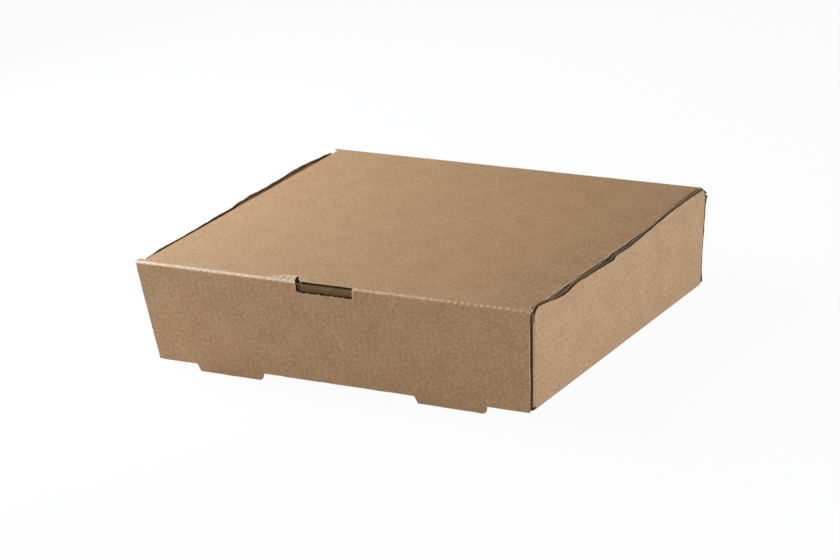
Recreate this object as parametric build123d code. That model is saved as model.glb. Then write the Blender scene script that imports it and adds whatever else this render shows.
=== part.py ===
from build123d import *
import math
import os

# Take-away waffle box, die-cut from one sheet of fine-flute kraft corrugated board and folded.
# Three groups of panels turn on their creases: the tray, the lid and the lid's front flap.
# Millimetres. X is the width, -Y the front, +Z up; the origin is the middle of the tray's underside.

# Board and its folds
board = 1.8                          # thickness of the board
fold_in = 0.3                        # inner radius of a pressed crease
fold_out = fold_in + board           # outer radius of a crease
knuckle_gap = 0.1                    # between a crease and the panel that turns round it
knuckle_tail = 18.0                  # degrees that a crease runs on past its panel's tangent

# Closed box, outside
height = 50.2                        # underside of the base to the top of the lid
width_top = 216.0
width_base = 205.0                   # the sides lean in towards the base
depth_top = 172.7
front_setback = 2.1                  # how far the front leans in over its height
back_setback = 1.7

# Lid
lid_side_gap = 0.6                   # lid edge to side wall
lid_rest_gap = 0.1                   # lid to the top of the front wall
lid_swing = 135.0                    # degrees that the lid opens
slot_width = 30.6                    # finger slot in the front crease
slot_centre = -0.5                   # from the middle of the box
slot_lip = 1.3                       # how far the slot reaches in over the crease
nick_back = 5.0                      # the slot's left end runs on in a pointed nick: how far back,
nick_side = 3.0                      # how far out to the side,
nick_mouth = 1.8                     # and how much of the slot's edge it takes

# Front flap
flap_gap = 0.9                       # flap to the front wall behind it, at the crease
flap_foot_gap = 0.2                  # and at the foot
flap_rise = 1.0                      # the flap's foot climbs this much from left to right
slot_drop = 4.9                      # how far the slot reaches down the flap
slot_round = 2.0                     # radius of the slot's lower left corner
tab_width = 38.4                     # two locking tabs on the flap's foot
tab_drop = 3.6
tab_centre = 61.0                    # from the middle of the box
tab_slant = 1.6                      # the left end of each tab is cut on a slant
tab_round = 3.0                      # and its right end is rounded

# Tray
wall_end_inset = 1.0                 # raw ends of the front and back walls, in from the side walls
ear_width = 24.0                     # corner ears, glued behind the front and back walls
ear_top = 43.0
ear_taper = 6.0
corner_relief = 4.0                  # radius off the top front corner of each side wall

# Top edges of the side walls as (place along Y, height): wavy in front, stepped up half way
right_front_top = [(-75.0, 49.4), (-66.0, 47.9), (-57.0, 46.3), (-50.5, 46.7), (-44.0, 48.0), (-9.0, 46.5)]
right_back_top = [(-6.0, 48.0), (6.0, 47.4), (26.0, 48.9), (46.0, 50.6), (76.0, 50.9)]
left_front_top = [(-75.0, 49.0), (-67.0, 49.7), (-51.0, 49.4), (-20.0, 49.9), (-7.0, 49.8)]
left_back_top = [(-5.0, 50.4), (8.0, 50.9), (24.0, 50.5), (52.0, 51.2), (76.0, 49.8)]

# Worked out: the creases that turn, the leans, and the foot of each leaning panel
crease_z = height - fold_out
crease_y = depth_top / 2 - fold_out                     # lid crease; the flap crease is its mirror
flap_lean = math.atan(front_setback / height)
front_lean = math.atan((front_setback - flap_gap + flap_foot_gap) / height)
back_lean = math.atan(back_setback / height)
side_lean = math.atan((width_top - width_base) / 2 / height)
flap_foot = crease_y + fold_out / math.cos(flap_lean) - crease_z * math.tan(flap_lean)
front_foot = flap_foot - board / math.cos(flap_lean) - flap_foot_gap
back_foot = crease_y + fold_out / math.cos(back_lean) - crease_z * math.tan(back_lean)
side_foot = width_base / 2
lid_under = height - board
lid_half = width_top / 2 - board - lid_side_gap
front_top = lid_under - lid_rest_gap
back_trim = fold_out / math.cos(math.radians(lid_swing - 90) / 2) + knuckle_gap
reach = 400.0                                           # longer than any panel


def side_face(z):
    """Half the outside width of the tray at a height."""
    return side_foot + z * math.tan(side_lean)


def inside_face(foot, lean, z):
    """How far out the inner face of a leaning wall is at a height."""
    return foot + z * math.tan(lean) - board / math.cos(lean)


def fold_centre(foot, lean):
    """How far out the centre of a wall's bottom fold is."""
    return foot - fold_out * math.cos(lean) + fold_out * (1 - math.sin(lean)) * math.tan(lean)


def across(outline):
    """An outline drawn in Y and Z, run through everything along X."""
    return extrude(Plane.YZ * outline, reach / 2, both=True)


def through(outline):
    """An outline drawn in X and Z, run through everything along Y."""
    return extrude(Plane.XZ * outline, reach / 2, both=True)


def shape(*points):
    return Polygon(*points, align=None)


def rod(y, radius):
    """Cylinder along X on a crease of the lid."""
    return Pos(0, y, crease_z) * Rot(0, 90, 0) * Cylinder(radius, reach)


def standing_wall(foot, lean, turn, outline):
    """Wall and bottom fold, leaning out along +X, cut to an outline in Y and Z, then turned."""
    centre = fold_centre(foot, lean)
    rise = height / math.cos(lean)

    def on_fold(radius, angle):
        return (centre + radius * math.cos(angle), fold_out + radius * math.sin(angle))

    def up(point):
        return (point[0] + rise * math.sin(lean), point[1] + rise * math.cos(lean))

    mid_turn = -(math.pi / 2 + lean) / 2
    outer_end = on_fold(fold_out, -lean)
    inner_end = on_fold(fold_in, -lean)
    section = make_face([
        Edge.make_three_point_arc((centre, 0), on_fold(fold_out, mid_turn), outer_end),
        Edge.make_line(outer_end, up(outer_end)),
        Edge.make_line(up(outer_end), up(inner_end)),
        Edge.make_line(up(inner_end), inner_end),
        Edge.make_three_point_arc(inner_end, on_fold(fold_in, mid_turn), (centre, board)),
        Edge.make_line((centre, board), (centre, 0)),
    ])
    return Rot(0, 0, turn) * (through(section) & across(outline))


def end_outline(top):
    """Front or back wall: its raw ends lie just inside the outer faces of the side walls."""
    foot = side_face(0) - wall_end_inset
    head = side_face(top) - wall_end_inset
    return shape((-foot, 0), (foot, 0), (head, top), (-head, top))


def side_outline(front_part, back_part):
    """Side wall, from the front wall to the back wall, with its wavy and stepped top."""
    def front_end(z):
        return (-inside_face(front_foot, front_lean, z), z)

    def back_end(z):
        return (inside_face(back_foot, back_lean, z), z)

    relief_foot = front_end(front_part[0][1] - corner_relief)
    relief_end = (relief_foot[0] + corner_relief, front_part[0][1])
    relief_mid = (
        relief_foot[0] + corner_relief * (1 - math.sqrt(0.5)),
        relief_foot[1] + corner_relief * math.sqrt(0.5),
    )
    return make_face([
        Edge.make_line(back_end(0), front_end(0)),
        Edge.make_line(front_end(0), relief_foot),
        Edge.make_three_point_arc(relief_foot, relief_mid, relief_end),
        Edge.make_line(relief_end, front_part[0]),
        Edge.make_spline([Vector(*point) for point in front_part]),
        Edge.make_line(front_part[-1], back_part[0]),
        Edge.make_spline([Vector(*point) for point in back_part]),
        Edge.make_line(back_part[-1], back_end(back_part[-1][1])),
        Edge.make_line(back_end(back_part[-1][1]), back_end(0)),
    ])


def corner_ear(foot, lean, direction):
    """Ear of the right side wall, behind the front wall (direction -1) or the back wall (+1)."""
    def face_at(z):
        return direction * inside_face(foot, lean, z)

    slab = shape(
        (face_at(0), 0), (face_at(height), height),
        (face_at(height) - direction * board, height), (face_at(0) - direction * board, 0),
    )
    outline = shape(
        (side_face(fold_out), fold_out), (side_face(ear_top), ear_top),
        (side_face(ear_top) - ear_width + ear_taper, ear_top),
        (side_face(fold_out) - ear_width, ear_top - 2 * ear_taper),
        (side_face(fold_out) - ear_width, fold_out + ear_taper),
        (side_face(fold_out) - ear_width + ear_taper, fold_out),
    )
    return across(slab) & through(outline)


def upright_fold(foot, lean, direction):
    """What is taken off the right side wall's corner to leave a round fold, all the way up."""
    corner = Vector(side_face(0), direction * inside_face(foot, lean, 0), 0)
    rise = Vector(math.tan(side_lean), direction * math.tan(lean), 1)
    middle = (board - fold_out) / 2
    block = Pos(middle, direction * middle) * Rectangle(fold_out + board, fold_out + board)
    block -= Pos(-fold_out, -direction * fold_out) * Circle(fold_out)
    return extrude(Plane(origin=corner) * block, amount=2 * height, dir=rise)


def right_side(front_part, back_part):
    """Right side wall and its two ears, as one bent sheet."""
    side = standing_wall(side_foot, side_lean, 0, side_outline(front_part, back_part))
    for foot, lean, direction in ((front_foot, front_lean, -1), (back_foot, back_lean, 1)):
        side += corner_ear(foot, lean, direction)
        side -= upright_fold(foot, lean, direction)
    return side - rod(crease_y, fold_out + 2 * knuckle_gap)


def make_tray():
    base_front = fold_centre(front_foot, front_lean)
    base_back = fold_centre(back_foot, back_lean)
    base_side = fold_centre(side_foot, side_lean)
    tray = Pos(0, (base_back - base_front) / 2, board / 2) * Box(2 * base_side, base_front + base_back, board)
    tray += standing_wall(front_foot, front_lean, -90, end_outline(front_top))
    back = standing_wall(back_foot, back_lean, 90, end_outline(crease_z))
    tray += back - rod(crease_y, back_trim)
    tray += right_side(right_front_top, right_back_top)
    tray += mirror(right_side(left_front_top, left_back_top), about=Plane.YZ)
    return tray


def lid_crease(y, first, last):
    """Round edge of the lid: a bent strip about a crease, between two angles from +Y towards +Z."""
    def around(radius, angle):
        turn = math.radians(angle)
        return (y + radius * math.cos(turn), crease_z + radius * math.sin(turn))

    middle = (first + last) / 2
    section = make_face([
        Edge.make_three_point_arc(around(fold_out, first), around(fold_out, middle), around(fold_out, last)),
        Edge.make_line(around(fold_out, last), around(fold_in, last)),
        Edge.make_three_point_arc(around(fold_in, last), around(fold_in, middle), around(fold_in, first)),
        Edge.make_line(around(fold_in, first), around(fold_out, first)),
    ])
    return across(section) & Box(width_top, reach, reach)


def make_lid():
    shoulder = inside_face(front_foot, front_lean, lid_under) + knuckle_gap
    plan = Rectangle(2 * lid_half, 2 * crease_y)
    plan += Pos(0, -(crease_y + shoulder) / 2) * Rectangle(width_top, crease_y - shoulder)
    lid = Pos(0, 0, lid_under) * extrude(plan, board)
    front_end = 180 + math.degrees(flap_lean) + knuckle_tail
    back_end = -math.degrees(back_lean) - knuckle_tail
    lid += lid_crease(-crease_y, 90, front_end)
    lid += lid_crease(crease_y, back_end, 90)
    edge = -depth_top / 2 + slot_lip
    left = slot_centre - slot_width / 2
    slot = Pos(slot_centre, edge - height / 2) * Rectangle(slot_width, height)
    slot += shape((left, -depth_top / 2), (left + nick_mouth, edge), (left - nick_side, edge + nick_back))
    return lid - extrude(slot, reach / 2, both=True)


def flap_slab():
    """The flap's thickness, from below its tabs to above its crease."""
    def outer(z):
        return -(flap_foot + z * math.tan(flap_lean))

    thick = board / math.cos(flap_lean)
    low, high = -height, 2 * height
    return across(shape((outer(low), low), (outer(high), high), (outer(high) + thick, high), (outer(low) + thick, low)))


def flap_edge(x):
    """Height of the flap's foot, which is cut a little askew."""
    return flap_rise * (x / width_base + 0.5)


def make_front_flap():
    outline = shape(
        (-side_face(0), flap_edge(-side_foot)), (side_face(0), flap_edge(side_foot)),
        (side_face(crease_z), crease_z), (-side_face(crease_z), crease_z),
    )
    for middle in (-tab_centre, tab_centre):
        left = middle - tab_width / 2
        right = middle + tab_width / 2
        foot = flap_edge(middle) - tab_drop
        tab = shape((left, foot + tab_drop), (left + tab_slant, foot), (right, foot), (right, foot + tab_drop))
        tab = fillet(tab.vertices().sort_by(Axis.X)[-2:].sort_by(Axis.Y)[0], tab_round)
        outline += tab
    slot = Pos(slot_centre, height - slot_drop + height / 2) * Rectangle(slot_width, height)
    slot = fillet(slot.vertices().group_by(Axis.Y)[0].sort_by(Axis.X)[0], slot_round)
    flap = flap_slab() & through(outline - slot)
    return flap - rod(-crease_y, fold_out + knuckle_gap)


nodes = {
    "tray": make_tray(),
    "lid": make_lid(),
    "front_flap": make_front_flap(),
}
os.makedirs("parts", exist_ok=True)
for name, solid in nodes.items():
    export_step(solid, f"parts/{name}.step")
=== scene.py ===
import bmesh
import bpy
import math
from mathutils import Matrix, Vector, noise


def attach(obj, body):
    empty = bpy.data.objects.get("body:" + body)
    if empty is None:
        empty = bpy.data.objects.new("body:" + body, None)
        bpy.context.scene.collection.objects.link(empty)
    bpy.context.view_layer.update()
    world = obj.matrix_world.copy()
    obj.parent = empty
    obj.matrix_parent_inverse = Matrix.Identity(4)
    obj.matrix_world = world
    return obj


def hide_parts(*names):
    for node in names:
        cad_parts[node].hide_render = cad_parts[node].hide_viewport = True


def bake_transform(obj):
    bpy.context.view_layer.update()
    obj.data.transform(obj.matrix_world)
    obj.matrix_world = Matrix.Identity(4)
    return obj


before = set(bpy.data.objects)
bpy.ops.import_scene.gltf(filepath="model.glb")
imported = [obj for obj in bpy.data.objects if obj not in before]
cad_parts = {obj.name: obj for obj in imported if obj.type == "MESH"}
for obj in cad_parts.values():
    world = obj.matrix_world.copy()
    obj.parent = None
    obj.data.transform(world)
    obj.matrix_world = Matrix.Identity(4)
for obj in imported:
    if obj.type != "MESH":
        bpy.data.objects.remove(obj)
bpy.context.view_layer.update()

print("frame loaded:", sorted(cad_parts))

# Each layer of the board is drawn flat in millimetres, as on the die-cutter's bed, then folded and made
# metres. A point of a flat layer is (across, along, depth), where depth 0 is the board's outside.

board = {
    "thick": 1.8,              # E-flute
    "liner": 0.3,
    "medium": 0.17,            # the fluted sheet between the liners
    "pitch": 3.33,             # flute to flute
    "facets": 8,               # drawn per flute
    "foldOut": 2.1,            # outer radius of a fold
    "baseSteps": 6,            # facets round a fold at the base
    "uprightSteps": 5,         # round an upright corner
    "creaseSteps": 9,          # round the front and back creases
}
height = 50.2
box = {
    "height": height, "halfWidth": 108.0, "halfDepth": 87.0,
    "creaseY": 84.25, "creaseZ": 48.1,          # middle of the round front and back creases
    "sideFoot": 102.5,                          # half the width at the table
    "sideLean": math.atan(5.5 / height),        # a wall leans out by these mm over the height
    "frontLean": math.atan(1.4 / height),
    "backLean": math.atan(1.7 / height),
    "flapLean": math.atan(2.1 / height),
    "flapGap": 0.2,                             # front wall to the flap outside it
    "earGap": 0.02,                             # a glued ear to its wall
    "twist": 0.43,                              # how far the real box's corners sit off a flat lid
    "bow": 1.3, "bowTop": 46.0, "bowHalf": 75.0, "bowFlat": 1.2,   # the front wall's middle
}
radius = board["foldOut"]


def footOf(lean):   # where a wall that meets the crease would touch the table
    return box["creaseY"] + radius / math.cos(lean) - box["creaseZ"] * math.tan(lean)


box["backFoot"] = footOf(box["backLean"])
box["frontFoot"] = footOf(box["flapLean"]) - board["thick"] / math.cos(box["flapLean"]) - box["flapGap"]


def smooth(t):
    t = min(max(t, 0), 1)
    return t * t * (3 - 2 * t)


def rise(value, start, width):   # 0 before start, 1 from start + width on
    return smooth((value - start) / width)


def hump(value, middle, half, top=1):   # highest in the middle; a top over 1 makes it flat there
    return smooth(top - abs(value - middle) / half)


def fluteRidge(across):   # 1 along the middle of a flute, -1 between two
    return math.cos(2 * math.pi * across / board["pitch"])


def foldCentre(foot, lean):   # how far out the base is still flat
    return foot - radius * math.cos(lean) + radius * (1 - math.sin(lean)) * math.tan(lean)


sideCentre = foldCentre(box["sideFoot"], box["sideLean"])
frontCentre = foldCentre(box["frontFoot"], box["frontLean"])
backCentre = foldCentre(box["backFoot"], box["backLean"])


def standUp(run, depth, centre, lean):   # a wall that rises from the base: (how far out, how high)
    if run <= 0:
        return centre + run, depth
    turn = math.pi / 2 - lean
    angle = min(run / radius, turn) - math.pi / 2
    rest = max(run - radius * turn, 0)
    out = centre + (radius - depth) * math.cos(angle) + rest * math.sin(lean)
    up = radius + (radius - depth) * math.sin(angle) + rest * math.cos(lean)
    return out, up


def runTo(z, lean):   # how far along a wall's outside a height is
    low = radius * (1 - math.sin(lean))
    if z < low:
        return radius * math.acos(1 - max(z, 0) / radius)
    return radius * (math.pi / 2 - lean) + (z - low) / math.cos(lean)


def sideFace(z):
    return box["sideFoot"] + z * math.tan(box["sideLean"])


def innerFace(z, way):   # inside of the front (-1) or back (+1) wall, with the glue's gap
    foot, lean = (box["frontFoot"], box["frontLean"]) if way < 0 else (box["backFoot"], box["backLean"])
    return foot + z * math.tan(lean) - board["thick"] / math.cos(lean) - box["earGap"]


def foldMain(across, along, depth):   # base, front wall and back wall
    way = 1 if along >= 0 else -1
    centre, lean = (backCentre, box["backLean"]) if way > 0 else (frontCentre, box["frontLean"])
    out, up = standUp(abs(along) - centre, depth, centre, lean)
    if way < 0:   # nothing holds the front wall's middle, so it bows in a little behind the finger slot
        out -= box["bow"] * smooth(up / box["bowTop"]) * hump(across, 0, box["bowHalf"], box["bowFlat"])
    return across, way * out, up


def foldSide(across, along, depth):   # side wall, and its ears round the upright corners
    side = 1 if across >= 0 else -1
    way = 1 if along >= 0 else -1
    x, z = standUp(abs(across) - sideCentre, depth, sideCentre, box["sideLean"])
    start = innerFace(z, way) - radius
    past = abs(along) - start
    if past <= 0:
        return side * x, along, z
    angle = min(past / radius, math.pi / 2)
    rest = max(past - radius * math.pi / 2, 0)
    y = start + (radius - depth) * math.sin(angle)
    x -= (radius - depth) * (1 - math.cos(angle)) + rest
    return side * x, way * y, z


def overCrease(along, depth, lean):   # (how far from the box's middle, how high)
    run = along - box["creaseY"]
    if run <= 0:
        return along, box["height"] - depth
    turn = math.pi / 2 + lean
    angle = min(run / radius, turn)
    rest = max(run - radius * turn, 0)
    out = box["creaseY"] + (radius - depth) * math.sin(angle) + rest * math.cos(angle)
    up = box["creaseZ"] + (radius - depth) * math.cos(angle) - rest * math.sin(angle)
    return out, up


def foldLid(across, along, depth):   # lid and front flap; along runs to the front
    out, up = overCrease(along, depth, box["flapLean"])
    return across, -out, up


def foldHinge(across, along, depth):   # the back crease
    out, up = overCrease(-along, depth, box["backLean"])
    return across, out, up


def downFlap(z, lean):   # along, for a height on the flap's or back wall's outside
    turn = math.pi / 2 + lean
    top = box["creaseZ"] + radius * math.cos(turn)
    return box["creaseY"] + radius * turn + (top - z) / math.sin(turn)


def twisted(x, y, z):   # the real box is racked a little: opposite corners of the lid sit high and low
    share = x * y / (box["halfWidth"] * box["halfDepth"])
    return Vector((x, y, z - box["twist"] * share * min(max(z / box["height"], 0), 1)))


def addPanel(bm, points, panel=0):   # panel 1 is folded by a layer's second fold
    face = bm.faces.new([bm.verts.new((x, y, 0)) for x, y in points])
    face.material_index = panel


def roundOff(bm, places):   # rounds outline corners, each (across, along, radius)
    for x, y, size in places:
        corner = min(bm.verts, key=lambda v: (v.co.x - x) ** 2 + (v.co.y - y) ** 2)
        bmesh.ops.bevel(bm, geom=[corner], affect="VERTICES", offset=size, offset_type="OFFSET",
                        segments=5, profile=0.5, material=-1)


def cutSheet(bm, normal, places, faces):   # cuts these faces, halving so that each cut sees few of them
    if not places or not faces:
        return faces
    middle = len(places) // 2
    place = places[middle]
    edges = list({edge for face in faces for edge in face.edges})
    verts = list({vert for face in faces for vert in face.verts})
    cut = bmesh.ops.bisect_plane(bm, geom=verts + edges + list(faces), dist=1e-5,
                                 plane_co=normal * place, plane_no=normal)
    found = [item for item in cut["geom"] if isinstance(item, bmesh.types.BMFace)]
    low = [face for face in found if face.calc_center_median().dot(normal) < place]
    high = [face for face in found if face.calc_center_median().dot(normal) >= place]
    return cutSheet(bm, normal, places[:middle], low) + cutSheet(bm, normal, places[middle + 1:], high)


def pick(bm, where):   # faces for which where(middle of the face, its panel) holds
    return [face for face in bm.faces if where(face.calc_center_median(), face.material_index)]


def everywhere(spot, panel):
    return True


def cutWhere(bm, axis, places, where=everywhere):
    normal = Vector((1, 0, 0)) if axis == "across" else Vector((0, 1, 0))
    cutSheet(bm, normal, sorted(places), pick(bm, where))


def cutSlant(bm, first, second, steps, where):   # lines beside a slanting fold; steps are added to along
    run = (Vector(second) - Vector(first)).to_3d()
    normal = Vector((-run.y, run.x, 0)).normalized()
    if normal.y < 0:
        normal.negate()
    start = Vector(first).to_3d().dot(normal)
    cutSheet(bm, normal, sorted(start + step * normal.y for step in steps), pick(bm, where))


def spread(first, last, step):
    count = max(int(round((last - first) / step)), 1)
    return [first + (last - first) * i / count for i in range(count + 1)]


def fluteLines(half, share=1):   # cuts along the flutes; share 2 keeps every second one
    step = board["pitch"] / board["facets"] * share
    return [i * step for i in range(math.ceil(-half / step), math.floor(half / step) + 1)]


def wave(across):   # depth of the fluted sheet's middle
    swing = (board["thick"] - 2 * board["liner"] - board["medium"]) / 2
    return board["thick"] / 2 + swing * fluteRidge(across)


def paint(code):   # sRGB hex to linear
    channels = [int(code[i:i + 2], 16) / 255 for i in (0, 2, 4)]
    return tuple([c / 12.92 if c <= 0.04045 else ((c + 0.055) / 1.055) ** 2.4 for c in channels] + [1.0])


def addNode(tree, kind, links=None, values=None, **settings):
    node = tree.nodes.new(kind)
    for key, value in settings.items():
        setattr(node, key, value)
    for key, value in (values or {}).items():
        node.inputs[key].default_value = value
    for key, source in (links or {}).items():
        tree.links.new(source, node.inputs[key])
    return node


def newPaper(name):
    material = bpy.data.materials.new(name)
    material.use_nodes = True
    material.node_tree.nodes.clear()
    return material, material.node_tree


# Kraft liner: unbleached long-fibre paper, calendered only lightly, so it is matt with a faint sheen at
# grazing angles. The eye sees cloudy formation, short darker and paler fibres, and the flutes showing
# through as faint bands. Sizes are in metres. A share is how much of the tone a pattern makes.
kraft = {
    "dark": "96714A", "mid": "B58E65", "pale": "CBA781",
    "darkAt": 0.285, "midAt": 0.42, "paleAt": 0.555,
    "cloud": 0.014, "cloudShare": 0.14,
    "grain": 0.0016, "grainShare": 0.36, "grainLift": 0.00008,
    "fibreLong": 0.0022, "fibreWide": 0.00035, "fibreShare": 0.32, "fibreLift": 0.00006,
    "fluteShare": 0.035, "fluteLift": 0.00005,
    "fleck": "7A5838", "fleckScale": 0.33, "fleckMost": 0.55,      # single dark fibres
    "brokenAndHighlight": "F0D6B6", "brokenAndHighlightMost": 0.85,                        # fibres broken by folding, and a painted highlight along the crease
    "rough": 0.58, "specular": 0.36,
}


def makeKraft(name, fluteShow=0.5):
    material, tree = newPaper(name)
    place = addNode(tree, "ShaderNodeAttribute", attribute_name="blank")
    cloud = addNode(tree, "ShaderNodeTexNoise", {"Vector": place.outputs["Vector"]},
                    {"Scale": 1 / kraft["cloud"], "Detail": 4.0, "Roughness": 0.6})
    grain = addNode(tree, "ShaderNodeTexNoise", {"Vector": place.outputs["Vector"]},
                    {"Scale": 1 / kraft["grain"], "Detail": 3.0, "Roughness": 0.7})
    drawnOut = addNode(tree, "ShaderNodeMapping", {"Vector": place.outputs["Vector"]},
                       {"Scale": (1 / kraft["fibreLong"], 1 / kraft["fibreWide"], 1 / kraft["fibreWide"])})
    fibres = addNode(tree, "ShaderNodeTexNoise", {"Vector": drawnOut.outputs["Vector"]},
                     {"Scale": 1.0, "Detail": 2.0, "Roughness": 0.5, "Distortion": 0.6})
    # at scale 1 the wave texture turns 20 radians per metre
    bands = addNode(tree, "ShaderNodeTexWave", {"Vector": place.outputs["Vector"]},
                    {"Scale": 2 * math.pi / 20 / (board["pitch"] / 1000), "Distortion": 1.2,
                     "Detail": 2.0, "Detail Scale": 0.6},
                    wave_type="BANDS", bands_direction="X")
    tone = addNode(tree, "ShaderNodeMath", {0: cloud.outputs["Fac"]}, {1: kraft["cloudShare"]},
                   operation="MULTIPLY")
    for pattern, share in ((grain, kraft["grainShare"]), (fibres, kraft["fibreShare"]),
                           (bands, kraft["fluteShare"] * fluteShow)):
        tone = addNode(tree, "ShaderNodeMath", {0: pattern.outputs["Fac"], 2: tone.outputs[0]}, {1: share},
                       operation="MULTIPLY_ADD")
    ramp = addNode(tree, "ShaderNodeValToRGB", {"Fac": tone.outputs[0]})
    stops = ramp.color_ramp.elements
    stops[0].position, stops[0].color = kraft["darkAt"], paint(kraft["dark"])
    stops[1].position, stops[1].color = kraft["paleAt"], paint(kraft["pale"])
    stops.new(kraft["midAt"]).color = paint(kraft["mid"])
    flecks = addNode(tree, "ShaderNodeTexVoronoi", {"Vector": drawnOut.outputs["Vector"]},
                     {"Scale": kraft["fleckScale"], "Randomness": 1.0})
    isFleck = addNode(tree, "ShaderNodeMapRange", {"Value": flecks.outputs["Distance"]},
                      {"From Min": 0.06, "From Max": 0.16, "To Min": kraft["fleckMost"], "To Max": 0.0})
    colour = addNode(tree, "ShaderNodeMix",
                     {"Factor": isFleck.outputs["Result"], "A": ramp.outputs["Color"]},
                     {"B": paint(kraft["fleck"])}, data_type="RGBA")
    # the crease's paler paint is broken fibres together with a painted highlight; along the finger slot's
    # rims it is broken fibres
    wearAndHighlight = addNode(tree, "ShaderNodeAttribute", attribute_name="wearAndHighlight")
    scuffAndHighlight = addNode(tree, "ShaderNodeMath", {0: wearAndHighlight.outputs["Fac"], 1: grain.outputs["Fac"]},
                      operation="MULTIPLY")
    brokenAndHighlightShare = addNode(tree, "ShaderNodeMapRange", {"Value": scuffAndHighlight.outputs[0]},
                       {"From Min": 0.10, "From Max": 0.52, "To Min": 0.0, "To Max": kraft["brokenAndHighlightMost"]})
    creased = addNode(tree, "ShaderNodeMix",
                      {"Factor": brokenAndHighlightShare.outputs["Result"], "A": colour.outputs["Result"]},
                      {"B": paint(kraft["brokenAndHighlight"])}, data_type="RGBA")
    liftFibres = addNode(tree, "ShaderNodeBump", {"Height": fibres.outputs["Fac"]},
                         {"Strength": 0.5, "Distance": kraft["fibreLift"]})
    liftGrain = addNode(tree, "ShaderNodeBump",
                        {"Height": grain.outputs["Fac"], "Normal": liftFibres.outputs["Normal"]},
                        {"Strength": 0.5, "Distance": kraft["grainLift"]})
    liftFlutes = addNode(tree, "ShaderNodeBump",
                         {"Height": bands.outputs["Fac"], "Normal": liftGrain.outputs["Normal"]},
                         {"Strength": fluteShow, "Distance": kraft["fluteLift"]})
    surface = addNode(tree, "ShaderNodeBsdfPrincipled",
                      {"Base Color": creased.outputs["Result"], "Normal": liftFlutes.outputs["Normal"]},
                      {"Roughness": kraft["rough"], "Specular IOR Level": kraft["specular"]})
    addNode(tree, "ShaderNodeOutputMaterial", {"Surface": surface.outputs["BSDF"]})
    return material


# Fluting: thinner, darker recycled paper, open and fibrous, without sheen. Its two tones are set darker
# still, as painted shade for the flutes' channels and cut ends.
fluting = {
    "dark": "5C4228", "pale": "86653F", "darkAt": 0.35, "paleAt": 0.70,
    "grain": 0.0011, "detail": 4.0, "lift": 0.0001, "strength": 0.6, "rough": 0.85, "specular": 0.2,
}
# Raw cut edge: the knife leaves the liner's torn fibres standing, so it is paler and fuzzier than its face.
rawEdge = {
    "dark": "A98662", "pale": "DDC0A0", "darkAt": 0.36, "paleAt": 0.62,
    "grain": 0.0009, "detail": 3.0, "lift": 0.00012, "strength": 0.7, "rough": 0.9, "specular": 0.15,
}


def makeFuzzy(name, look):   # paper that is two tones of one grain
    material, tree = newPaper(name)
    place = addNode(tree, "ShaderNodeAttribute", attribute_name="blank")
    grain = addNode(tree, "ShaderNodeTexNoise", {"Vector": place.outputs["Vector"]},
                    {"Scale": 1 / look["grain"], "Detail": look["detail"], "Roughness": 0.7})
    ramp = addNode(tree, "ShaderNodeValToRGB", {"Fac": grain.outputs["Fac"]})
    stops = ramp.color_ramp.elements
    stops[0].position, stops[0].color = look["darkAt"], paint(look["dark"])
    stops[1].position, stops[1].color = look["paleAt"], paint(look["pale"])
    lift = addNode(tree, "ShaderNodeBump", {"Height": grain.outputs["Fac"]},
                   {"Strength": look["strength"], "Distance": look["lift"]})
    surface = addNode(tree, "ShaderNodeBsdfPrincipled",
                      {"Base Color": ramp.outputs["Color"], "Normal": lift.outputs["Normal"]},
                      {"Roughness": look["rough"], "Specular IOR Level": look["specular"]})
    addNode(tree, "ShaderNodeOutputMaterial", {"Surface": surface.outputs["BSDF"]})
    return material


outerKraft = makeKraft("kraft_liner_outside")
innerKraft = makeKraft("kraft_liner_inside", fluteShow=0.3)
# the fluting's paper, darkened further as painted shade
flutingPaperAndShade = makeFuzzy("recycled_fluting_and_painted_shade", fluting)
cutPaper = makeFuzzy("cut_board_edge", rawEdge)
print("paper mixed")

cutEdge = {
    "slow": 0.17, "slowShare": 1.2,      # unevenness of raw edges, patterns per mm and how strong
    "fast": 0.9, "fastShare": 0.6,
    "inward": 0.5,
    "bitten": 0.7, "biteMost": 1.2,      # where the knife tore the finger slot at its flutes
}
# The three layers: depth of the outer side, thickness, and papers for the face, its rim and its glued side.
# The glued side takes the dark fluting paper, as painted shade inside the flutes' channels.
sheets = {
    "outer": {"depth": 0, "thick": board["liner"], "papers": (outerKraft, cutPaper, flutingPaperAndShade)},
    "fluting": {"depth": 0, "thick": board["medium"], "papers": (flutingPaperAndShade, flutingPaperAndShade)},
    "inner": {"depth": board["thick"] - board["liner"], "thick": board["liner"],
              "papers": (innerKraft, cutPaper, flutingPaperAndShade)},
}


def atFinger(across, along):   # the finger slot's own edges
    return abs(across) < 20 and 79 < along < 92


def fray(bm, rim, amount, setBack, seed, torn):   # raw edges are uneven, and fluting stops short of liners
    ways = {}
    for face in rim:
        for vert in face.verts:
            ways[vert] = ways.get(vert, Vector()) + face.normal
    for vert, way in ways.items():
        way.z = 0
        if way.length > 0.1:
            place = Vector((vert.co.x, vert.co.y, seed))
            push = (noise.noise(place * cutEdge["slow"]) * cutEdge["slowShare"]
                    + noise.noise(place * cutEdge["fast"]) * cutEdge["fastShare"] - cutEdge["inward"])
            if torn and atFinger(vert.co.x, vert.co.y):
                bite = 0.5 - 0.5 * fluteRidge(vert.co.x) + noise.noise(place * cutEdge["bitten"])
                push -= torn / amount * min(max(bite, 0), cutEdge["biteMost"])
            vert.co += way.normalized() * (push * amount - setBack)
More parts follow.
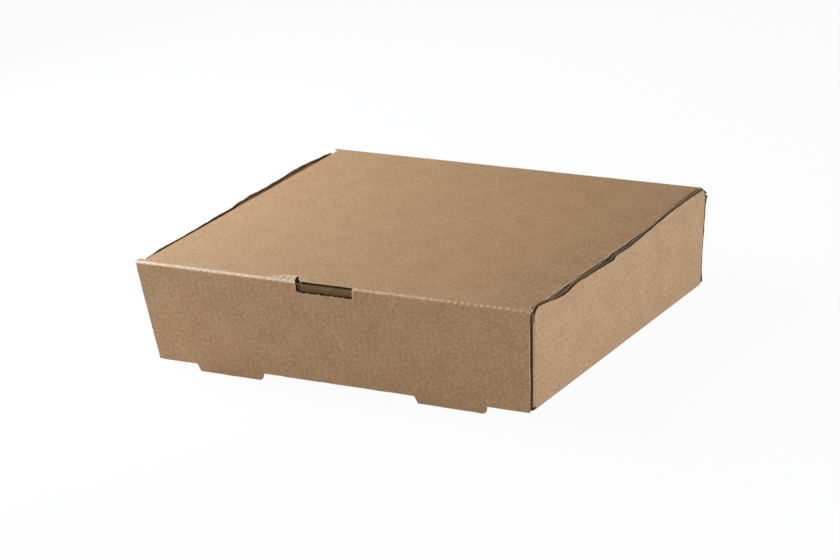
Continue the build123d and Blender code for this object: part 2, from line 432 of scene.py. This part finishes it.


# Turns a flat drawing into one layer of board, and folds it: folds[0] for panel 0, the last one for panel 1.
# frayed, setBack and torn are in mm. dent gives the mm sunk at (across, along), and the function after it
# the share there of paler paint, broken fibres together with a painted highlight; rimWear is a share of
# broken fibres along the finger slot's edges.
def makeLayer(name, sheet, bm, folds, frayed, seed=0.0, setBack=0.0, dent=None, wornAndHighlit=None, rimWear=0.0,
              torn=0.0):
    depth, thick, wavy = sheets[sheet]["depth"], sheets[sheet]["thick"], sheet == "fluting"
    blank = bm.verts.layers.float_vector.new("blank")
    wearAndHighlight = bm.verts.layers.float.new("wearAndHighlight")
    bm.normal_update()
    for face in bm.faces:
        if face.normal.z > 0:
            face.normal_flip()
    bmesh.ops.solidify(bm, geom=bm.faces[:], thickness=thick)
    bm.normal_update()
    low = min(vert.co.z for vert in bm.verts)
    bmesh.ops.translate(bm, verts=bm.verts[:], vec=(0, 0, -low))
    rim = [face for face in bm.faces if abs(face.normal.z) < 0.5]
    flats = [face for face in bm.faces if abs(face.normal.z) >= 0.5]
    mainVerts = {vert for face in flats if face.material_index == 0 for vert in face.verts}
    glued = {face for face in flats if not wavy and (face.normal.z > 0) == (depth == 0)}
    rimVerts = {vert for face in rim for vert in face.verts}
    fray(bm, rim, frayed, setBack, seed, torn)
    for vert in bm.verts:
        across, along, up = vert.co
        deep = up + (wave(across) - thick / 2 if wavy else depth)
        if dent:
            deep += dent(across, along)
        vert[blank] = Vector((across, along, deep)) / 1000
        byFinger = vert in rimVerts and atFinger(across, along)
        vert[wearAndHighlight] = max(wornAndHighlit(across, along) if wornAndHighlit else 0.0, rimWear if byFinger else 0.0)
        fold = folds[0] if vert in mainVerts else folds[-1]
        vert.co = twisted(*fold(across, along, deep)) / 1000
    for face in flats:
        # a liner's glued side is the same kraft, painted with the dark fluting paper as shade inside the
        # channels
        face.material_index = 2 if face in glued else 0
        face.smooth = True
    for face in rim:
        face.material_index = 1
    mesh = bpy.data.meshes.new(name)
    bm.to_mesh(mesh)
    volume = bm.calc_volume(signed=True)
    bm.free()
    mesh.set_sharp_from_angle(angle=math.radians(40))
    for paper in sheets[sheet]["papers"]:
        mesh.materials.append(paper)
    piece = bpy.data.objects.new(name, mesh)
    bpy.context.scene.collection.objects.link(piece)
    print(name, "faces", len(mesh.polygons), "board volume mm3", round(volume * 1e9))
    return piece


tray = {
    "frontTop": 47.8, "backTop": 47.0,
    "wallInset": 0.4,                     # front and back walls stop short of the side walls' outside
    "outerFrontSet": 0.9,                 # and their outer liner more so, which shows the dark flutes
    "outerBackSet": 1.2, "fluteBackSet": -0.6, "innerBackSet": 0.5,
    "earWidth": 24.0, "earTop": 43.0, "earTaper": 6.0, "earRise": 0.1, "earNeck": 1.4,
    "frontToe": 0.5,                      # how far round an upright corner a side wall's foot reaches
    "backToe": (0.5, 0.9), "backRoot": 1.7,   # the back ones start lower, as (z, past the corner)
    "relief": 4.0, "reliefPast": 1.3,     # radius off each side wall's top front corner
    "stepAt": 81.0, "stepDrop": 0.6,      # each side wall's top steps down to clear the back crease
    "stepFoot": (81.6, 48.0),             # as (y, z)
    "backCorner": (45.4, 1.0),            # where its top ends, as (z, past the corner)
    # the side walls' wavy top edges, front to back, as (y, z)
    "rightTop": [(-75.0, 49.4), (-66.0, 47.9), (-57.0, 46.3), (-50.5, 46.7), (-44.0, 48.0), (-9.0, 46.5),
                 (-6.0, 48.0), (6.0, 47.4), (26.0, 48.9), (46.0, 50.6), (76.0, 50.9)],
    "leftTop": [(-75.0, 49.0), (-67.0, 49.7), (-51.0, 49.4), (-20.0, 49.9), (-7.0, 49.8),
                (-5.0, 50.4), (8.0, 50.9), (24.0, 50.5), (52.0, 51.2), (76.0, 49.8)],
    "topRound": 2.4, "tearRound": 0.4, "tear": (-10, -4),   # a tear halfway along keeps sharp corners
    "rightLift": 0.9, "liftBehind": 0.3,  # the right inner liner stands above its outer one, less so behind
    "fluteDrop": 1.0, "innerDrop": 1.2,   # the left wall's layers sink towards the inside
    "cornersFrom": 68,                    # the upright folds lie beyond this
    "wavyFrom": 44.5, "wavyStep": 1.6,    # above this height the side walls are cut finer
    "bandHigh": 6,                        # and so is this much of the front wall's top
    "fluteFray": 0.3, "outerFray": 0.22, "innerFray": 0.26, "fluteSet": 1.0,
}


def upSide(side, z):   # across, for a height on a side wall's outside
    return side * (sideCentre + runTo(z, box["sideLean"]))


def sideSpot(side, z, way, past=0):   # past: beyond the start of the upright fold
    return upSide(side, z), way * (innerFace(z, way) - radius + past)


def endPanel(way, endSet):   # front (-1) or back (+1) wall
    centre, lean = (backCentre, box["backLean"]) if way > 0 else (frontCentre, box["frontLean"])
    top = tray["backTop"] if way > 0 else tray["frontTop"]
    inset = endSet + tray["wallInset"]
    foot = (sideFace(radius) - inset, way * (centre + runTo(radius, lean)))
    head = (sideFace(top) - inset, way * (centre + runTo(top, lean)))
    return [(sideCentre, way * centre), foot, head, (-head[0], head[1]), (-foot[0], foot[1]),
            (-sideCentre, way * centre)]


def ear(side, way):   # glued behind the front (-1) or back (+1) wall
    low, high, taper = radius + tray["earRise"], tray["earTop"], tray["earTaper"]
    end = tray["earWidth"] + radius * (math.pi / 2 - 1)
    places = [tray["backToe"], (low, tray["backRoot"])] if way > 0 else [(low, tray["frontToe"])]
    places += [(low, end - taper), (low + taper, end), (high - 2 * taper, end), (high, end - taper),
               (high, tray["earNeck"])]
    return [sideSpot(side, z, way, past) for z, past in places]


def sidePanel(side, top):   # a side wall with its two ears, round from its front foot
    cornerTop, cornerPast = tray["backCorner"]
    steps = [(tray["stepAt"], top[-1][1] - tray["stepDrop"]), tray["stepFoot"]]
    points = [(side * sideCentre, -frontCentre)] + ear(side, -1)
    points += [sideSpot(side, top[0][1], -1, tray["reliefPast"])]
    points += [(upSide(side, z), y) for y, z in top + steps]
    points += [sideSpot(side, cornerTop, 1, cornerPast)] + ear(side, 1)[::-1]
    return points + [(side * sideCentre, backCentre)]


def isSide(spot, panel):
    return panel == 1


# Lifts raise this layer above the drawn tops, and sets draw back the ends of the front and back walls.
def drawTray(rightLift=0.0, leftLift=0.0, frontSet=0.0, backSet=0.0):
    bm = bmesh.new()
    tearStart, tearEnd = tray["tear"]
    behind = rightLift * tray["liftBehind"]
    tops = ((1, [(y, z + (rightLift if y < tearStart else behind)) for y, z in tray["rightTop"]]),
            (-1, [(y, z + leftLift) for y, z in tray["leftTop"]]))
    addPanel(bm, [(-sideCentre, -frontCentre), (sideCentre, -frontCentre),
                  (sideCentre, backCentre), (-sideCentre, backCentre)])
    addPanel(bm, endPanel(-1, frontSet))
    addPanel(bm, endPanel(1, backSet))
    for side, top in tops:
        addPanel(bm, sidePanel(side, top), panel=1)
    bmesh.ops.remove_doubles(bm, verts=bm.verts[:], dist=0.001)
    rounds = []
    for side, top in tops:
        for y, z in top:
            torn = tearStart < y < tearEnd
            rounds.append((upSide(side, z), y, tray["tearRound"] if torn else tray["topRound"]))
        rounds.append((*sideSpot(side, top[0][1], -1, tray["reliefPast"]), tray["relief"]))
    roundOff(bm, rounds)
    corners, upper = tray["cornersFrom"], upSide(1, tray["wavyFrom"])
    cutWhere(bm, "along", [-corners, corners], isSide)
    count = board["uprightSteps"]
    for way in (-1, 1):
        steps = [way * radius * math.pi / 2 * i / count for i in range(count + 1)]
        for side in (-1, 1):   # 3 and 45 mm up, two heights that give the corner's slant
            cutSlant(bm, sideSpot(side, 3, way), sideSpot(side, 45, way), steps,
                     lambda spot, panel: panel == 1 and spot.x * side > 0 and spot.y * way > corners)
    cutWhere(bm, "across", [-upper, upper], isSide)
    cutWhere(bm, "along", spread(-88, 88, tray["wavyStep"]),
             lambda spot, panel: panel == 1 and abs(spot.x) > upper and abs(spot.y) < 86)
    count = board["baseSteps"]
    folds = [radius * (math.pi / 2 - box["sideLean"]) * i / count for i in range(1, count + 1)]
    cutWhere(bm, "across", [side * (sideCentre + f) for side in (-1, 1) for f in folds], isSide)
    cutWhere(bm, "along", [-frontCentre - f for f in folds] + [backCentre + f for f in folds],
             lambda spot, panel: panel == 0 and abs(spot.y) > 80.5)
    return bm


def outerTray():   # cut finer along the front wall's top, which bows
    bm = drawTray(frontSet=tray["outerFrontSet"], backSet=tray["outerBackSet"])
    band = frontCentre + runTo(tray["frontTop"] - tray["bandHigh"], box["frontLean"])
    cutWhere(bm, "along", [-band], lambda spot, panel: panel == 0 and spot.y < -82)
    cutWhere(bm, "across", fluteLines(106, 2), lambda spot, panel: panel == 0 and spot.y < -band)
    return bm


def flutedTray():
    bm = drawTray(leftLift=-tray["fluteDrop"], backSet=tray["fluteBackSet"])
    cutWhere(bm, "across", fluteLines(160))
    return bm


foldTray = (foldMain, foldSide)
innerTray = drawTray(rightLift=tray["rightLift"], leftLift=-tray["innerDrop"], backSet=tray["innerBackSet"])
trayPieces = [
    makeLayer("tray_outer_liner", "outer", outerTray(), foldTray, tray["outerFray"], seed=1.0),
    makeLayer("tray_fluting", "fluting", flutedTray(), foldTray, tray["fluteFray"], seed=4.0,
              setBack=tray["fluteSet"]),
    makeLayer("tray_inner_liner", "inner", innerTray, foldTray, tray["innerFray"], seed=9.0),
]
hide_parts("tray")
for piece in trayPieces:
    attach(piece, "tray")
print("tray folded")

lid = {
    "leftHalf": 104.5, "rightFront": 105.8, "rightMiddle": 105.5, "middleAt": -28, "rightBack": 103.4,
    "back": 83.2, "leftEnd": 108.8,
    "shoulder": 82.0,        # from here forward the lid lies over the front wall, at the box's full width
    "shoulderRound": 0.8, "endsPast": 1.5, "endsTop": 47.9,      # the crease's ends, down to the flap's sides
    "slotLeft": -15.8, "slotRight": 14.8, "slotEdge": 85.07, "slotFoot": 45.3,
    "slotRound": 2.0, "slotCorner": 0.4,
    "nickSide": 3.0, "nickAlong": 80.05, "nickMouth": 1.8,       # the slot's left end runs into the lid
    "tabHalf": 19.2, "tabCentre": 61.0, "tabDrop": 3.6, "tabSlant": 1.6, "tabRound": 3.0, "tabCorner": 0.5,
    "footRise": 1.0,         # the flap's foot isn't quite level
    "ridge": 0.10,           # flute ridges pressed up along the crease
    "washboard": 0.02,       # flutes showing through the front
    "droop": 0.4,            # worn ends of the crease
    "bruise": 0.7,           # the board gives way left of the finger slot
    "bruiseReach": 7.0,      # this far behind the crease
    "sag": 1.1,              # the lid's right side rests low where the wall is low
    "fluteStop": 0.9, "fluteStart": 1.4,   # the fluting is crushed flat between these, at the crease
    "outerFray": 0.12, "fluteFray": 0.2, "innerFray": 0.14, "innerSet": 0.8, "fluteSet": 1.1,
    "slotWear": 1.4, "slotTorn": 0.65,
}


def flapSpot(x, z):
    return x, downFlap(z, box["flapLean"])


def footAt(x):
    return lid["footRise"] * (x / (2 * box["sideFoot"]) + 0.5)


def flapFoot(x):
    return flapSpot(x, footAt(x))


def tabOutline(middle):   # from its left root, down and round to its right root
    low = footAt(middle) - lid["tabDrop"]
    left, right = middle - lid["tabHalf"], middle + lid["tabHalf"]
    return [flapFoot(left), flapSpot(left + lid["tabSlant"], low), flapSpot(right, low), flapFoot(right)]


def drawLid():   # lid and flap in one, as two halves that meet at the finger slot
    bm = bmesh.new()
    back, shoulder, full = -lid["back"], lid["shoulder"], box["halfWidth"]
    ends = box["creaseY"] + lid["endsPast"]
    front = box["creaseY"] + radius * math.pi / 2
    foot = downFlap(lid["slotFoot"], box["flapLean"])
    left, right, edge = lid["slotLeft"], lid["slotRight"], lid["slotEdge"]
    endsTop, flapSide = lid["endsTop"], sideFace(lid["endsTop"])
    tabs = [tabOutline(-lid["tabCentre"]), tabOutline(lid["tabCentre"])]
    leftHalf = [(-lid["leftHalf"], back), (0, back), (0, edge), (left + lid["nickMouth"], edge)]
    leftHalf += [(left - lid["nickSide"], lid["nickAlong"]), (left, front), (left, foot), (0, foot)]
    leftHalf += [flapFoot(0)] + tabs[0][::-1] + [flapFoot(-box["sideFoot"]), flapSpot(-flapSide, endsTop)]
    leftHalf += [(-lid["leftEnd"], ends), (-lid["leftEnd"], shoulder), (-lid["leftHalf"], shoulder)]
    rightHalf = [(lid["rightBack"], back), (lid["rightMiddle"], lid["middleAt"])]
    rightHalf += [(lid["rightFront"], shoulder), (full, shoulder), (full, ends)]
    rightHalf += [flapSpot(flapSide, endsTop), flapFoot(box["sideFoot"])]
    rightHalf += tabs[1][::-1] + [flapFoot(0), (0, foot), (right, foot), (right, edge), (0, edge), (0, back)]
    addPanel(bm, leftHalf)
    addPanel(bm, rightHalf)
    bmesh.ops.remove_doubles(bm, verts=bm.verts[:], dist=0.001)
    rounds = [(left, foot, lid["slotRound"])]
    rounds += [(*tab[2], lid["tabRound"]) for tab in tabs] + [(*tab[1], lid["tabCorner"]) for tab in tabs]
    rounds += [(right, foot, lid["slotCorner"]), (-lid["leftEnd"], shoulder, lid["shoulderRound"]),
               (full, shoulder, lid["shoulderRound"])]
    roundOff(bm, rounds)
    return bm


def creaseWearAndHighlight(across, along):   # folding breaks the fibres, so the crease is paler, in dashes at its right end; this paler paint, and the patch left of the finger slot, is also a painted highlight on the crease's ridges
    run = along - box["creaseY"]
    line = hump(run, 1.3, 1.15, 1.2)
    dashes = 0.5 + 0.5 * fluteRidge(across)
    right, left = rise(across, 30, 60), rise(-across, 5, 40)
    reach = lid["bruiseReach"] * rise(across, -40, 20)
    bruise = rise(across, -40, 12) * rise(-across, 17, 2) * rise(run, -reach, 2) * rise(-run, -3, 2)
    return max(line * (0.6 + 0.4 * left) * (1 - 0.75 * right * (1 - dashes)), bruise * (0.4 + 0.4 * dashes))


def bendLid(across, along):   # how far the whole board sinks, in mm
    run = along - box["creaseY"]
    droop = lid["droop"] * rise(abs(across), 99, 9) ** 2 * hump(run, 0.5, 6)
    sag = lid["sag"] * rise(across, 84, 22) * rise(along, -58, 36) * rise(-along, -84, 14)
    share = rise(across, -38, 20) * rise(-across, 12, 3)
    reach = lid["bruiseReach"] * share
    bruise = 0.0
    if reach > 0.3 and -reach < run < 3:
        bruise = lid["bruise"] * share * rise(run, -reach, reach) * rise(-run, -3, 3)
    return droop + sag + bruise


def dentLid(across, along):   # the outside also shows the flutes
    run = along - box["creaseY"]
    raised = lid["ridge"] * hump(run, 1.6, 3.4) + lid["washboard"] * rise(run, 2, 4)
    return bendLid(across, along) - fluteRidge(across) * raised


def creaseRows(lean):   # rows round a crease, from its start
    steps = board["creaseSteps"]
    return [box["creaseY"] + radius * (math.pi / 2 + lean) * i / steps for i in range(steps + 1)]


# rows across the lid where it is cut finer: before the crease, round it, and down the flap
beforeCrease = [box["creaseY"] + r for r in (-9, -7.5, -6, -4.5, -3.2, -2, -1)]
roundCrease = creaseRows(box["flapLean"])
afterCrease = [roundCrease[-1] + r for r in (0.7, 1.6, 3, 5, 8)]


def liningOfLid(share):
    bm = drawLid()
    first = beforeCrease[0]
    leftStrip, rightStrip = -103.9, 83      # strips along the lid's free edges, for their unevenness and sag
    cutWhere(bm, "along", [first])
    cutWhere(bm, "across", fluteLines(109, share), lambda spot, panel: spot.y > first)
    cutWhere(bm, "along", beforeCrease[1:] + roundCrease + afterCrease, lambda spot, panel: spot.y > first)
    cutWhere(bm, "along", [downFlap(lid["slotFoot"] - 0.4, box["flapLean"])],
             lambda spot, panel: abs(spot.x) < 20)
    cutWhere(bm, "across", [leftStrip] + spread(rightStrip, 102.9, 3.4), lambda spot, panel: spot.y < first)
    cutWhere(bm, "along", spread(-82, 74, 2.0),
             lambda spot, panel: spot.y < first and not leftStrip <= spot.x <= rightStrip)
    return bm


def fluteOfLid(keepFlap):
    bm = drawLid()
    seam = box["creaseY"] + (radius * math.pi / 2 + lid["fluteStart"] if keepFlap else lid["fluteStop"])
    bmesh.ops.bisect_plane(bm, geom=bm.verts[:] + bm.edges[:] + bm.faces[:], dist=1e-5,
                           plane_co=(0, seam, 0), plane_no=(0, 1, 0),
                           clear_outer=not keepFlap, clear_inner=keepFlap)
    cutWhere(bm, "across", fluteLines(109))
    cutWhere(bm, "along", beforeCrease[-1:] + roundCrease + afterCrease[:1])
    cutWhere(bm, "along", spread(-20, 80, 5.0), lambda spot, panel: spot.x > 83)
    return bm


for piece in (
    makeLayer("lid_outer_liner", "outer", liningOfLid(1), (foldLid,), lid["outerFray"], seed=2.0,
              dent=dentLid, wornAndHighlit=creaseWearAndHighlight, rimWear=lid["slotWear"], torn=lid["slotTorn"]),
    makeLayer("lid_inner_liner", "inner", liningOfLid(2), (foldLid,), lid["innerFray"], seed=6.0,
              setBack=lid["innerSet"], dent=bendLid),
):
    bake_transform(piece)
for name, body, keepFlap in (("lid_fluting", "lid", False), ("flap_fluting", "front_flap", True)):
    piece = makeLayer(name, "fluting", fluteOfLid(keepFlap), (foldLid,), lid["fluteFray"], seed=8.0,
                      setBack=lid["fluteSet"], dent=bendLid)
    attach(piece, body)
    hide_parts(body)
print("lid and flap folded")

# The back crease, drawn from the lid's back edge down to the back wall's top.
hinge = {
    "half": 107.0, "lidRight": 105.0,     # its half width, and where it stops beside the lid's right edge
    "bend": 2.6,                          # how far past the crease's start it widens to the wall's width
    "ridge": 0.06,
    "fluteSet": 1.1,
}


def drawHinge(setBack=0.0):
    bm = bmesh.new()
    wall = -downFlap(tray["backTop"], box["backLean"])
    half = sideFace(tray["backTop"]) - tray["wallInset"] - setBack
    full = hinge["half"] - setBack
    right = hinge["lidRight"] - setBack
    bend = -(box["creaseY"] + hinge["bend"])
    addPanel(bm, [(-half, wall), (half, wall), (right, bend), (right, -lid["back"]), (-full, -lid["back"]),
                  (-full, bend)])
    cutWhere(bm, "along", [-row for row in creaseRows(box["backLean"])])
    return bm


def dentHinge(across, along):
    run = -along - box["creaseY"]
    return -hinge["ridge"] * hump(run, 1.6, 2.0) * fluteRidge(across)


outerHinge = drawHinge()
cutWhere(outerHinge, "across", fluteLines(109, 2))
flutedHinge = drawHinge(hinge["fluteSet"])
cutWhere(flutedHinge, "across", fluteLines(109))
for piece in (
    makeLayer("hinge_outer_liner", "outer", outerHinge, (foldHinge,), 0, dent=dentHinge),
    makeLayer("hinge_fluting", "fluting", flutedHinge, (foldHinge,), 0),
    makeLayer("hinge_inner_liner", "inner", drawHinge(), (foldHinge,), 0),
):
    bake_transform(piece)
print("back crease folded")

view = {
    "azimuth": 34.098, "elevation": 20.2586, "roll": -5.861,    # degrees
    "lens": 121.703, "sensor": 36,
    "place": (0.71307, -1.06160, 0.49363),
}


def placeCamera():
    azimuth, elevation, roll = (math.radians(view[key]) for key in ("azimuth", "elevation", "roll"))
    back = Vector((math.sin(azimuth) * math.cos(elevation), -math.cos(azimuth) * math.cos(elevation),
                   math.sin(elevation)))
    right = (-back).cross(Vector((0, 0, 1))).normalized()
    up = right.cross(-back)
    rolledRight = math.cos(roll) * right + math.sin(roll) * up
    rolledUp = -math.sin(roll) * right + math.cos(roll) * up
    data = bpy.data.cameras.new("camera")
    data.lens, data.sensor_width = view["lens"], view["sensor"]
    data.clip_start, data.clip_end = 0.05, 30
    camera = bpy.data.objects.new("camera", data)
    turned = Matrix((rolledRight, rolledUp, back)).transposed()
    camera.matrix_world = Matrix.Translation(view["place"]) @ turned.to_4x4()
    bpy.context.scene.collection.objects.link(camera)
    bpy.context.scene.camera = camera


placeCamera()

# The box stands on the flap's tabs and the base's back edge, so the floor is tilted to touch both, as (y, z).
floorPlan = {
    "size": 6.0,
    "front": (-0.0842, -0.0034), "back": (0.0838, 0.0),
    "below": 0.0003,
    "grey": 0.8,             # what takes the box's shadow
    "white": 0.95,           # how much of it the camera sees as plain white
}


def makeFloor():
    (frontY, frontZ), (backY, backZ) = floorPlan["front"], floorPlan["back"]
    tilt = math.atan2(backZ - frontZ, backY - frontY)
    lift = frontZ - frontY * math.tan(tilt) - floorPlan["below"]
    bm = bmesh.new()
    bmesh.ops.create_grid(bm, x_segments=1, y_segments=1, size=floorPlan["size"] / 2)
    bmesh.ops.rotate(bm, verts=bm.verts[:], cent=(0, 0, 0), matrix=Matrix.Rotation(tilt, 3, "X"))
    bmesh.ops.translate(bm, verts=bm.verts[:], vec=(0, 0, lift))
    mesh = bpy.data.meshes.new("floor")
    bm.to_mesh(mesh)
    bm.free()
    material, tree = newPaper("matt_white_paper")
    path = addNode(tree, "ShaderNodeLightPath")
    seen = addNode(tree, "ShaderNodeMath",
                   {0: path.outputs["Is Camera Ray"], 1: path.outputs["Is Glossy Ray"]}, operation="MAXIMUM")
    either = addNode(tree, "ShaderNodeMath",
                     {0: seen.outputs[0], 1: path.outputs["Is Transmission Ray"]}, operation="MAXIMUM")
    share = addNode(tree, "ShaderNodeMath", {0: either.outputs[0]}, {1: floorPlan["white"]},
                    operation="MULTIPLY")
    matt = addNode(tree, "ShaderNodeBsdfDiffuse", values={"Color": (*[floorPlan["grey"]] * 3, 1)})
    glow = addNode(tree, "ShaderNodeEmission", values={"Color": (1, 1, 1, 1), "Strength": 1.0})
    mixed = addNode(tree, "ShaderNodeMixShader",
                    {0: share.outputs[0], 1: matt.outputs[0], 2: glow.outputs[0]})
    addNode(tree, "ShaderNodeOutputMaterial", {"Surface": mixed.outputs[0]})
    mesh.materials.append(material)
    floor = bpy.data.objects.new("floor", mesh)
    bpy.context.scene.collection.objects.link(floor)


makeFloor()

# Square soft boxes that all face the box; sizes and places in metres, power in watts.
lamps = {
    "key": {"place": (-0.40, -0.05, 0.40), "size": 0.35, "power": 2.2, "tint": "F6FAFF"},
    "keyLow": {"place": (-0.50, -0.01, 0.12), "size": 0.25, "power": 4.6, "tint": "E4EFFF"},
    "rim": {"place": (-0.50, 0.35, 0.30), "size": 0.35, "power": 0.10, "tint": "FFFFFF"},
    "side": {"place": (0.80, 0.0, 0.18), "size": 0.4, "power": 3.4, "tint": "E0EDFF"},
    "sideLow": {"place": (1.1, 0.3, 0.15), "size": 0.5, "power": 2.8, "tint": "E0EDFF"},
    "top": {"place": (-0.2, 0.0, 1.3), "size": 0.9, "power": 0.3, "tint": "FFFFFF"},
    "front": {"place": (0.55, -0.9, 0.5), "size": 0.7, "power": 3.7, "tint": "FAFCFF"},
}
lampAim = Vector((0, 0, 0.03))
for name, lamp in lamps.items():
    light = bpy.data.lights.new(name, "AREA")
    light.shape, light.size, light.energy = "SQUARE", lamp["size"], lamp["power"]
    light.color = paint(lamp["tint"])[:3]
    holder = bpy.data.objects.new(name, light)
    holder.location = lamp["place"]
    holder.rotation_euler = (lampAim - Vector(lamp["place"])).to_track_quat("-Z", "Y").to_euler()
    bpy.context.scene.collection.objects.link(holder)

# The room: white to the camera, and a weak even fill for the box.
room = {"fill": 0.12, "white": 1.0}
world = bpy.data.worlds.new("studio")
bpy.context.scene.world = world
world.use_nodes = True
roomTree = world.node_tree
roomTree.nodes.clear()
path = addNode(roomTree, "ShaderNodeLightPath")
fill = addNode(roomTree, "ShaderNodeBackground", values={"Color": (1, 1, 1, 1), "Strength": room["fill"]})
white = addNode(roomTree, "ShaderNodeBackground", values={"Color": (1, 1, 1, 1), "Strength": room["white"]})
either = addNode(roomTree, "ShaderNodeMixShader",
                 {0: path.outputs["Is Camera Ray"], 1: fill.outputs[0], 2: white.outputs[0]})
addNode(roomTree, "ShaderNodeOutputWorld", {"Surface": either.outputs[0]})
bpy.context.scene.view_settings.view_transform = "Standard"
print("camera, floor and light set")
